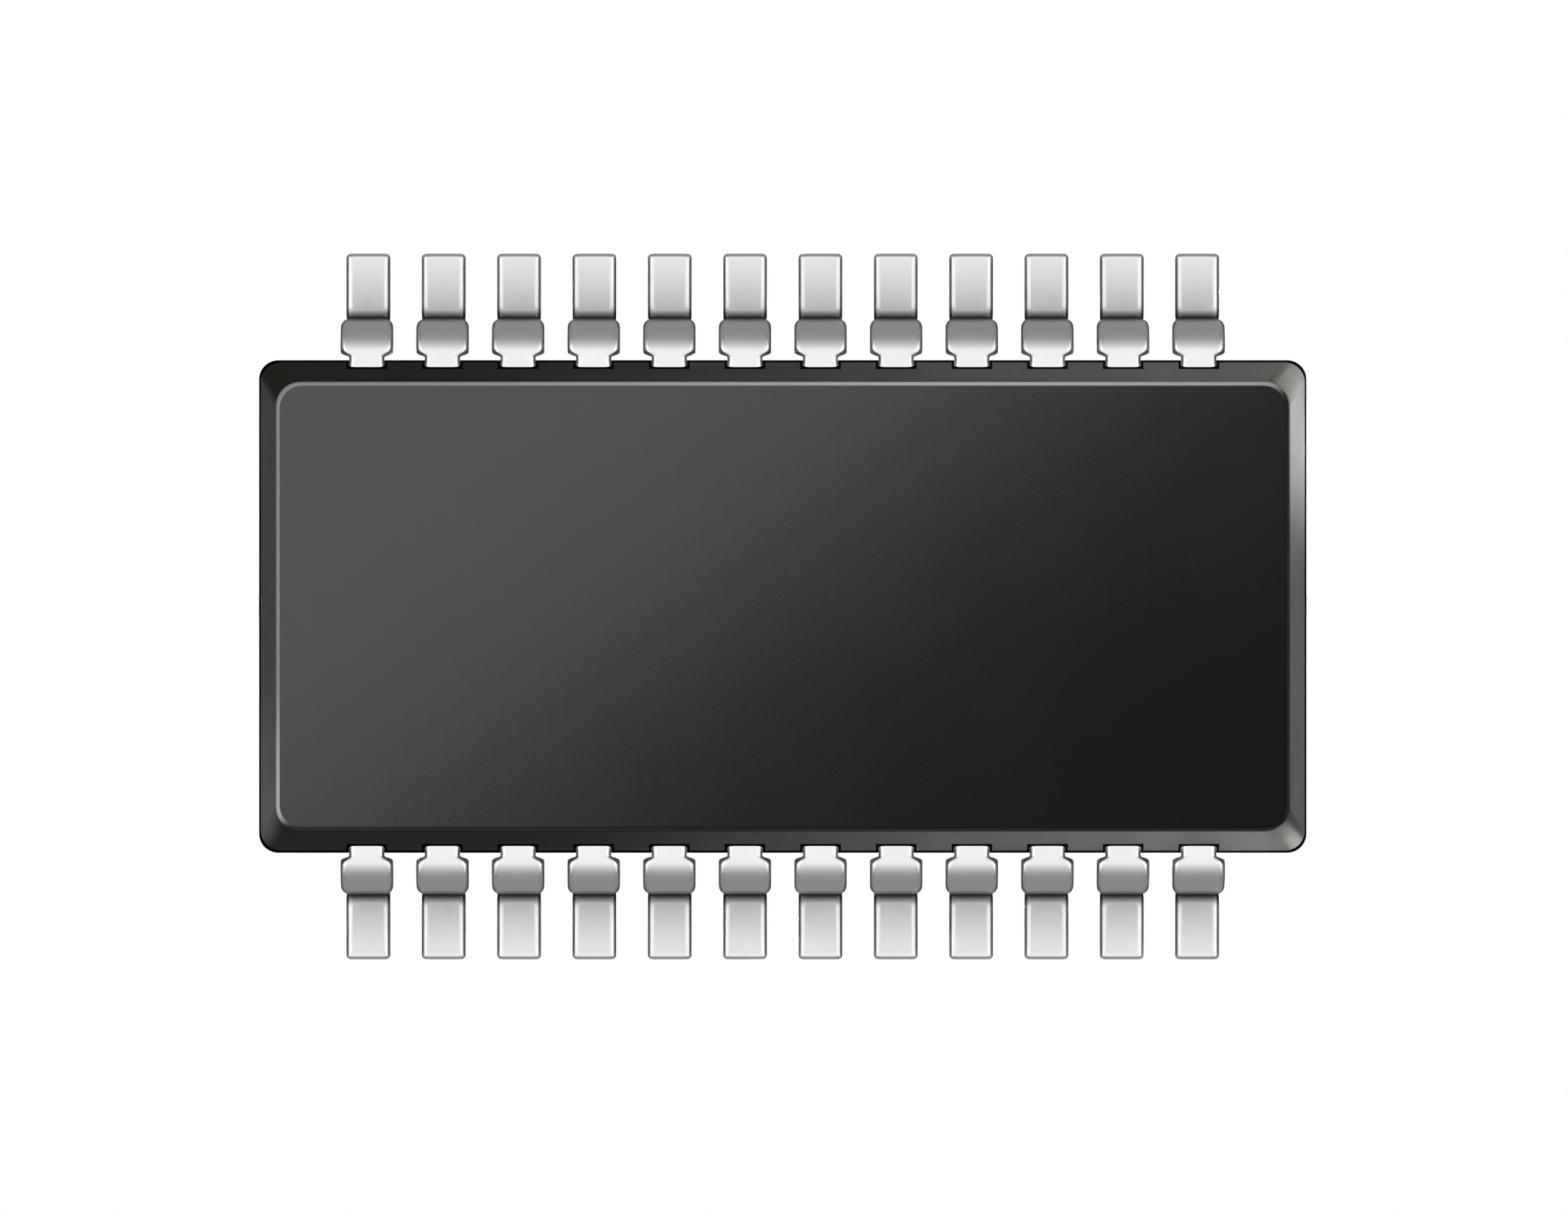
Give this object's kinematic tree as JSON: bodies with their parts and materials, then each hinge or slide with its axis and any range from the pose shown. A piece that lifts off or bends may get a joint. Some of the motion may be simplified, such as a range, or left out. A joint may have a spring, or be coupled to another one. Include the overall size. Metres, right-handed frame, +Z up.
{
  "type": "voice chip",
  "caption": "Surface-mount voice chip: a flat dark moulded body with gull-wing leads along both long sides, holding a silicon die, its paddle and bond wires.",
  "frame": {"origin": "centre of the seating plane, the plane of the undersides of the feet", "axes": "+X along the body's long side, +Y across it towards the back row of leads, +Z up out of the board"},
  "size_m": [0.0088, 0.006, 0.0015],
  "materials": {
    "mould_compound": "fine satin moulded surface",
    "tinned_lead": "satin tin plating on copper alloy",
    "copper_frame": "stamped copper alloy",
    "silicon": "polished silicon",
    "die_adhesive": "cured silver-filled adhesive",
    "gold_wire": "drawn gold wire"
  },
  "bodies": {
    "root": {"lead_01": "tinned_lead", "lead_02": "tinned_lead", "lead_03": "tinned_lead", "lead_04": "tinned_lead", "lead_05": "tinned_lead", "lead_06": "tinned_lead", "lead_07": "tinned_lead", "lead_08": "tinned_lead", "lead_09": "tinned_lead", "lead_10": "tinned_lead", "lead_11": "tinned_lead", "lead_12": "tinned_lead", "lead_13": "tinned_lead", "lead_14": "tinned_lead", "lead_15": "tinned_lead", "lead_16": "tinned_lead", "lead_17": "tinned_lead", "lead_18": "tinned_lead", "lead_19": "tinned_lead", "lead_20": "tinned_lead", "lead_21": "tinned_lead", "lead_22": "tinned_lead", "lead_23": "tinned_lead", "lead_24": "tinned_lead", "bond_wire_01": "gold_wire", "bond_wire_02": "gold_wire", "bond_wire_03": "gold_wire", "bond_wire_04": "gold_wire", "bond_wire_05": "gold_wire", "bond_wire_06": "gold_wire", "bond_wire_07": "gold_wire", "bond_wire_08": "gold_wire", "bond_wire_09": "gold_wire", "bond_wire_10": "gold_wire", "bond_wire_11": "gold_wire", "bond_wire_12": "gold_wire", "bond_wire_13": "gold_wire", "bond_wire_14": "gold_wire", "bond_wire_15": "gold_wire", "bond_wire_16": "gold_wire", "bond_wire_17": "gold_wire", "bond_wire_18": "gold_wire", "bond_wire_19": "gold_wire", "bond_wire_20": "gold_wire", "bond_wire_21": "gold_wire", "bond_wire_22": "gold_wire", "bond_wire_23": "gold_wire", "bond_wire_24": "gold_wire", "die_paddle": "copper_frame", "die_attach": "die_adhesive", "silicon_die": "silicon", "mould_body": "mould_compound"}
  },
  "joints": []
}
